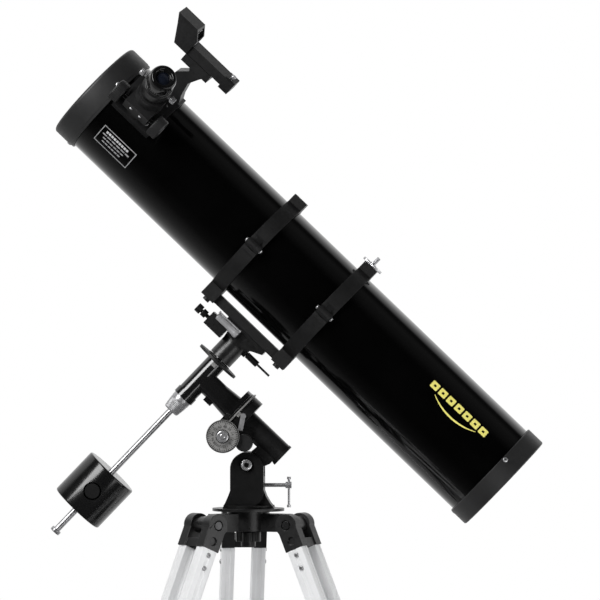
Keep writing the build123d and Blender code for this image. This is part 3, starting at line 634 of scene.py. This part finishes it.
RA = M @ rot(90, "Y")
piece("ra_circle_band", ring(35.2, 37.75, 74.8, 77.0, 0.15, 128), RA, "disc_silver", "ra_circle")
marks("ra_circle_marks_a", RA, 37.3, 35.7, 76.95, 72, "ra_circle", "cast_smooth", 0.35, 5, 0.0)
piece("ra_index", bx(77.4, 81.5, -37.0, -35.6, -3, 5), M, "disc_silver", "polar_head", bevel=0.4)
piece("dec_index", bx(-4, 4, -17.6, -15.4, 24.5, 31.0), M, "disc_silver", "dec_head", bevel=0.4)
marks("dec_circle_marks", M, 32.4, 34.4, 36.55, 72, "dec_circle", "ink_grey")
marks("dec_circle_marks_under", M, 32.4, 34.4, 32.35, 72, "dec_circle", "ink_grey")

# RA slow-motion disc: satin face, raised dark marks and numbers, screw in the middle
RD = M @ loc(WX, 0, -38.5) @ rot(90, "X")          # z towards the camera side (-y)
face = knurl(25.0, 49.0, 54.0, 0.35, 60, 0.7)
boss = lathe(soft([(0, 53.9), (9, 53.9), (9, 61), (7.8, 62), (0, 62)], [0, .4, .8, .6, 0]), 64)
rest = join(rod(8, 42, 49.2, 0.4, 48), rod(4, -43, 43, 0.3, 32), rod(4.6, -14, 14, 0.3, 32), put(knurl(8, 0, 12, 0.6, 20, 0.9), loc(0, 0, -55)))
piece("ra_disc", join(face, rest), RD, "disc_silver", "ra_worm", replaces=("ra_worm_knob",))
piece("ra_disc_boss", boss, RD, "chrome", "ra_worm")
piece("ra_disc_rim", ring(23.0, 24.1, 53.9, 54.25, 0.1, 96), RD, "cast_smooth", "ra_worm")
marks("ra_disc_marks", RD, 20.2, 23.2, 53.95, 48, "ra_worm", "cast_smooth", 0.8, 4, 2.2, 0.15)
piece("ra_disc_ring", ring(9.4, 10.3, 53.9, 54.3, 0.1, 64), RD, "cast_smooth", "ra_worm")
piece("ra_disc_screw", join(put(lathe(soft([(0, 61.8), (4.2, 61.8), (4.2, 63.2), (2.8, 64), (0, 64)], 0.3), 32), Matrix.Identity(4))), RD, "chrome", "ra_worm")
for i in range(12):
    cu = bpy.data.curves.new(f"num{i}", "FONT")
    cu.body = str(i * 12)
    cu.size, cu.extrude, cu.align_x, cu.align_y = 0.0056, 0.00006, "CENTER", "CENTER"
    cu.resolution_u = 2
    to = bpy.data.objects.new(f"num{i}", cu)
    scene.collection.objects.link(to)
    bpy.context.view_layer.update()
    me = bpy.data.meshes.new_from_object(to)
    bpy.data.objects.remove(to)
    a = radians(30 * i)
    P = RD @ Matrix.Scale(1000, 4)
    P = P @ Matrix.Translation((0.0150 * cos(a), 0.0150 * sin(a), 0.05402)) @ Matrix.Rotation(a - pi / 2, 4, "Z")
    me.transform(P)
    me.materials.clear()
    me.materials.append(MAT["cast_smooth"])
    no = bpy.data.objects.new(f"ra_disc_number_{i}", me)
    scene.collection.objects.link(no)
    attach(no, "ra_worm")

# knurled clutch knob
piece("clutch_knob", join(knurl(13.4, 33.8, 46, 0.6, 34, 1.4), rod(3, 14, 34, 0.3, 24)), M @ loc(114, 0, -24) @ rot(90, "X"), "plastic", "ra_clutch", replaces=("ra_clutch_knob",))
# silver barrel and collar beside the saddle, polar cap
piece("saddle_barrel", put(lathe(soft([(0, -21.3), (4.4, -21.3), (5.7, -20), (5.7, 14), (6.0, 14.2), (6.0, 20), (5.2, 21.2), (0, 21.3)], 0.4), 48), loc(-26, -24, 84) @ rot(90, "Y")), M, "barrel", "dec_axis")
piece("saddle_pin", put(join(rod(1.3, -20, 19, 0.3, 24), put(rod(2.2, -22.5, -20, 0.4, 24), loc()), put(rod(2.2, 19, 21.5, 0.4, 24), loc())), loc(-26, -26.5, 91.2) @ rot(90, "Y")), M, "barrel", "dec_axis")
piece("slow_motion_end", put(join(knurl(7.0, -79, -70, 0.4, 24, 0.8)), rot(90, "Y")), M @ loc(0, -8, 73), "plastic", "dec_slow_motion")
cap = lathe(soft([(0, 165.2), (18.3, 165.2), (18.3, 168.2), (17.2, 169.2), (13, 169.2), (12.6, 168.6), (0, 168.6)], [0, .3, .5, .5, .3, .3, 0]), 96)
piece("polar_end_cap", cap, RA, "plastic", "polar_head")

# knurled conical nut on the counterweight shaft
nt_ = lathe(soft([(5.05, -41), (15.0, -41), (15.0, -48), (14.2, -49), (14.6, -50), (12.4, -66.5), (11.2, -68), (5.05, -68)], [.2, .5, .3, .3, .3, .8, .5, .2], True), 160, True)
vs = []
for x, y, z in nt_[0]:
    rr = hypot(x, y)
    if rr > 12.0 and -66 < z < -50:
        a = atan2(y, x)
        kf = (rr - 0.35 * max(0.0, cos(a * 40))) / rr
        x, y = x * kf, y * kf
    vs.append((x, y, z))
piece("shaft_lock_nut", (vs, nt_[1]), M, "lever_grey", "dec_head", replaces=("shaft_nut",))

# counterweight
cwp = lathe(soft([(5.4, -272), (41.5, -272), (43, -270.5), (43, -196.5), (41.5, -195), (5.4, -195)], [.5, 1.0, 1.0, 1.0, 1.0, .5], True), 128, True)
bore = join(put(rod(13.5, 30, 50, 0, 64), loc(0, 0, -233.5) @ rot(90, "X")))
cwp = cut(cwp, bore)
cwp = cut(cwp, put(rod(4.3, 1, 32, 0, 40), loc(0, 0, -233.5) @ rot(90, "X")))
piece("weight_body", cwp, M, "iron", "counterweight", replaces=("counterweight",))
dress("weight_screw", "tube_inner", 0.8, 35)

# ================================================================== tripod
dress("tripod_head", "cast_smooth", 0.9, 32)
dress("leg_pivot_bolts", "steel_dark", 0.4, 35)
dress("azimuth_knob", "plastic", 0.8, 35)
dress("brace_tray", "plastic", 0.6, 35)


def rail_profile(y0, y1, s):
    """outline of one rail: rounded outer corners and two shallow grooves along each broad side"""
    o = []
    x = 13.0
    pts = [(-x + 2, y0), (-3.2, y0), (-2.4, y0 + 0.7), (2.4, y0 + 0.7), (3.2, y0), (x - 2, y0), (x - 0.6, y0 + 0.6), (x, y0 + 2),
           (x, y0 + 6.6), (x - 0.7, y0 + 7.2), (x - 0.7, y1 - 7.2), (x, y1 - 6.6), (x, y1 - 2), (x - 0.6, y1 - 0.6), (x - 2, y1), (3.2, y1), (2.4, y1 - 0.7), (-2.4, y1 - 0.7), (-3.2, y1), (-x + 2, y1),
           (-x + 0.6, y1 - 0.6), (-x, y1 - 2), (-x, y1 - 6.6), (-x + 0.7, y1 - 7.2), (-x + 0.7, y0 + 7.2), (-x, y0 + 6.6), (-x, y0 + 2), (-x + 0.6, y0 + 0.6)]
    cy = (y0 + y1) / 2
    inner = [(max(-11.3, min(11.3, px * 0.86)), cy + max(-8.3, min(8.3, (py - cy) * 0.82))) for px, py in pts]
    return pts, inner


for n in AZ:
    L = leg(n)
    dress(f"leg_{n}_knuckle", "plastic", 1.6, 35, 3)
    dress(f"leg_{n}_clamp", "plastic", 1.2, 35)
    dress(f"leg_{n}_knob", "plastic", 0.8, 35)
    dress(f"brace_arm_{n}", "plastic", 0.6, 35)
    parts = []
    for s in (-1, 1):
        y0, y1 = sorted((s * 13.5, s * 33.5))
        o_, i_ = rail_profile(y0, y1, s)
        parts.append(hollow(o_, i_, -560, -38))
    piece(f"leg_{n}_rail_pair", join(*parts), L, "aluminium", f"leg_{n}", angle=28, replaces=(f"leg_{n}_rails",))
    for s in (-1, 1):
        for k, z in enumerate((-47, -67.5)):
            screw(f"leg_{n}_screw_{s + 1}_{k}", L @ loc(0, s * 33.4, z) @ rot(-90 * s, "X"), f"leg_{n}", 3.6, 2.2, "lever_grey")
    ll = HINGE_Z / cos(radians(SPLAY))
    eo = [(-9.8, -13), (-3, -13), (-2.3, -12.4), (2.3, -12.4), (3, -13), (9.8, -13), (11, -11.8), (11, -4), (10.4, -3.3), (10.4, 3.3), (11, 4), (11, 11.8),
          (9.8, 13), (3, 13), (2.3, 12.4), (-2.3, 12.4), (-3, 13), (-9.8, 13), (-11, 11.8), (-11, 4), (-10.4, 3.3), (-10.4, -3.3), (-11, -4), (-11, -11.8)]
    ei = [(max(-9.2, min(9.2, x * 0.84)), max(-11.2, min(11.2, y * 0.86))) for x, y in eo]
    piece(f"leg_{n}_lower_rail", hollow(eo, ei, -(ll - 26), -180), L, "aluminium", f"leg_{n}_lower", angle=28, replaces=(f"leg_{n}_extension",))
    # rubber foot with two ribs, cut level with the floor
    prof = soft([(0, -(ll - 34)), (15, -(ll - 34)), (18.0, -(ll - 32.6)), (18.0, -(ll - 24)), (16.8, -(ll - 22)), (16.8, -(ll - 19)), (17.5, -(ll - 17.5)), (15.0, -(ll + 9)), (0, -(ll + 9))], [0, .8, .8, .8, .5, .5, .6, 0, 0])
    fv, ff = lathe(prof, 72)
    out = []
    for v in fv:
        p = L @ Vector(v)
        if p.z < 0:
            p = p + (L.to_3x3() @ Vector((0, 0, 1))).normalized() * (-p.z / cos(radians(SPLAY)))
        out.append(tuple(p))
    piece(f"leg_{n}_foot", (out, ff), Matrix.Identity(4), "rubber", f"leg_{n}_lower", angle=40)

# ================================================================== floor, light, camera
fl = lathe([(0, -0.0012), (4.2, -0.0012), (4.2, -0.012), (0, -0.012)], 96)
me = bpy.data.meshes.new("floor")
me.from_pydata(fl[0], [], fl[1])
flip_check(me)
me.materials.append(MAT["floor"])
floor = bpy.data.objects.new("floor", me)
scene.collection.objects.link(floor)
floor.visible_glossy = False

# studio: a white backdrop wraps behind the tube, the room in front is dark
world = bpy.data.worlds.new("studio")
scene.world = world
world.use_nodes = True
wt = world.node_tree
bg = wt.nodes["Background"]
tcw = nd(wt, "ShaderNodeTexCoord")
dt = nd(wt, "ShaderNodeVectorMath", operation="DOT_PRODUCT")
dt.inputs[1].default_value = (sin(radians(LAT)), 0.0, cos(radians(LAT)))
wt.links.new(tcw.outputs["Generated"], dt.inputs[0])
sep = nd(wt, "ShaderNodeSeparateXYZ")
wt.links.new(tcw.outputs["Generated"], sep.inputs[0])
at2 = nd(wt, "ShaderNodeMath", operation="ARCTAN2")
wt.links.new(dt.outputs["Value"], at2.inputs[0])
wt.links.new(sep.outputs["Y"], at2.inputs[1])
mr = nd(wt, "ShaderNodeMapRange")
mr.inputs["From Min"].default_value, mr.inputs["From Max"].default_value = -pi, pi
wt.links.new(at2.outputs[0], mr.inputs["Value"])
PROFILE = [(-180, 0.004), (-140, 0.004), (-112, 0.05), (-78, 0.26), (-48, 0.56), (-15, 0.95), (0, 1.0), (36, 1.0), (56, 0.45), (62, 0.03), (70, 0.03), (82, 0.10), (104, 0.07), (122, 0.004), (180, 0.004)]
wcol = ramp(wt, mr.outputs[0], [((a + 180) / 360, (v, v, v)) for a, v in PROFILE])
wt.links.new(wcol, bg.inputs["Color"])
bg.inputs["Strength"].default_value = 1.0
bg2 = nd(wt, "ShaderNodeBackground")
bg2.inputs["Color"].default_value = (1, 1, 1, 1)
bg2.inputs["Strength"].default_value = 1.0
lp = nd(wt, "ShaderNodeLightPath")
mxs = nd(wt, "ShaderNodeMixShader")
wt.links.new(lp.outputs["Is Camera Ray"], mxs.inputs[0])
wt.links.new(bg.outputs[0], mxs.inputs[1])
wt.links.new(bg2.outputs[0], mxs.inputs[2])
wt.links.new(mxs.outputs[0], wt.nodes["World Output"].inputs["Surface"])

TARGET = Vector(((77.6 + SX) / 1000, SY / 1000, 1.012))


def area(name, pos, size, power, at=None, size_y=None):
    l = bpy.data.lights.new(name, "AREA")
    l.energy = power
    l.shape = "RECTANGLE"
    l.size, l.size_y = size, size_y or size
    o = bpy.data.objects.new(name, l)
    scene.collection.objects.link(o)
    o.location = pos
    o.visible_camera = False
    o.rotation_euler = ((at or TARGET) - Vector(pos)).to_track_quat("-Z", "Y").to_euler()
    return o


def softbox(name, direction, dist, across, along, radiance):
    """a lit panel seen from the object in that direction"""
    d = Vector(direction).normalized()
    return area(name, TARGET + d * dist, across, radiance * pi * across * along, size_y=along)


softbox("key_upper_left", (-0.55, -0.65, 0.52), 2.4, 1.0, 1.6, 11.0)
softbox("fill_lower_right", (0.62, -0.60, -0.44), 1.5, 1.5, 0.55, 2.9)
softbox("side_right", (0.97, -0.05, -0.12), 2.3, 1.1, 1.3, 2.4)

az = radians(2.5)
cam = bpy.data.cameras.new("camera")
cam.sensor_width, cam.lens = 36.0, 288.0
cam.clip_start, cam.clip_end = 0.1, 100
co = bpy.data.objects.new("camera", cam)
scene.collection.objects.link(co)
co.location = TARGET + Vector((sin(az), -cos(az), 0)) * 7.2
co.rotation_euler = (radians(90), 0, az)
scene.camera = co
scene.view_settings.view_transform = "Standard"
scene.view_settings.look = "None"
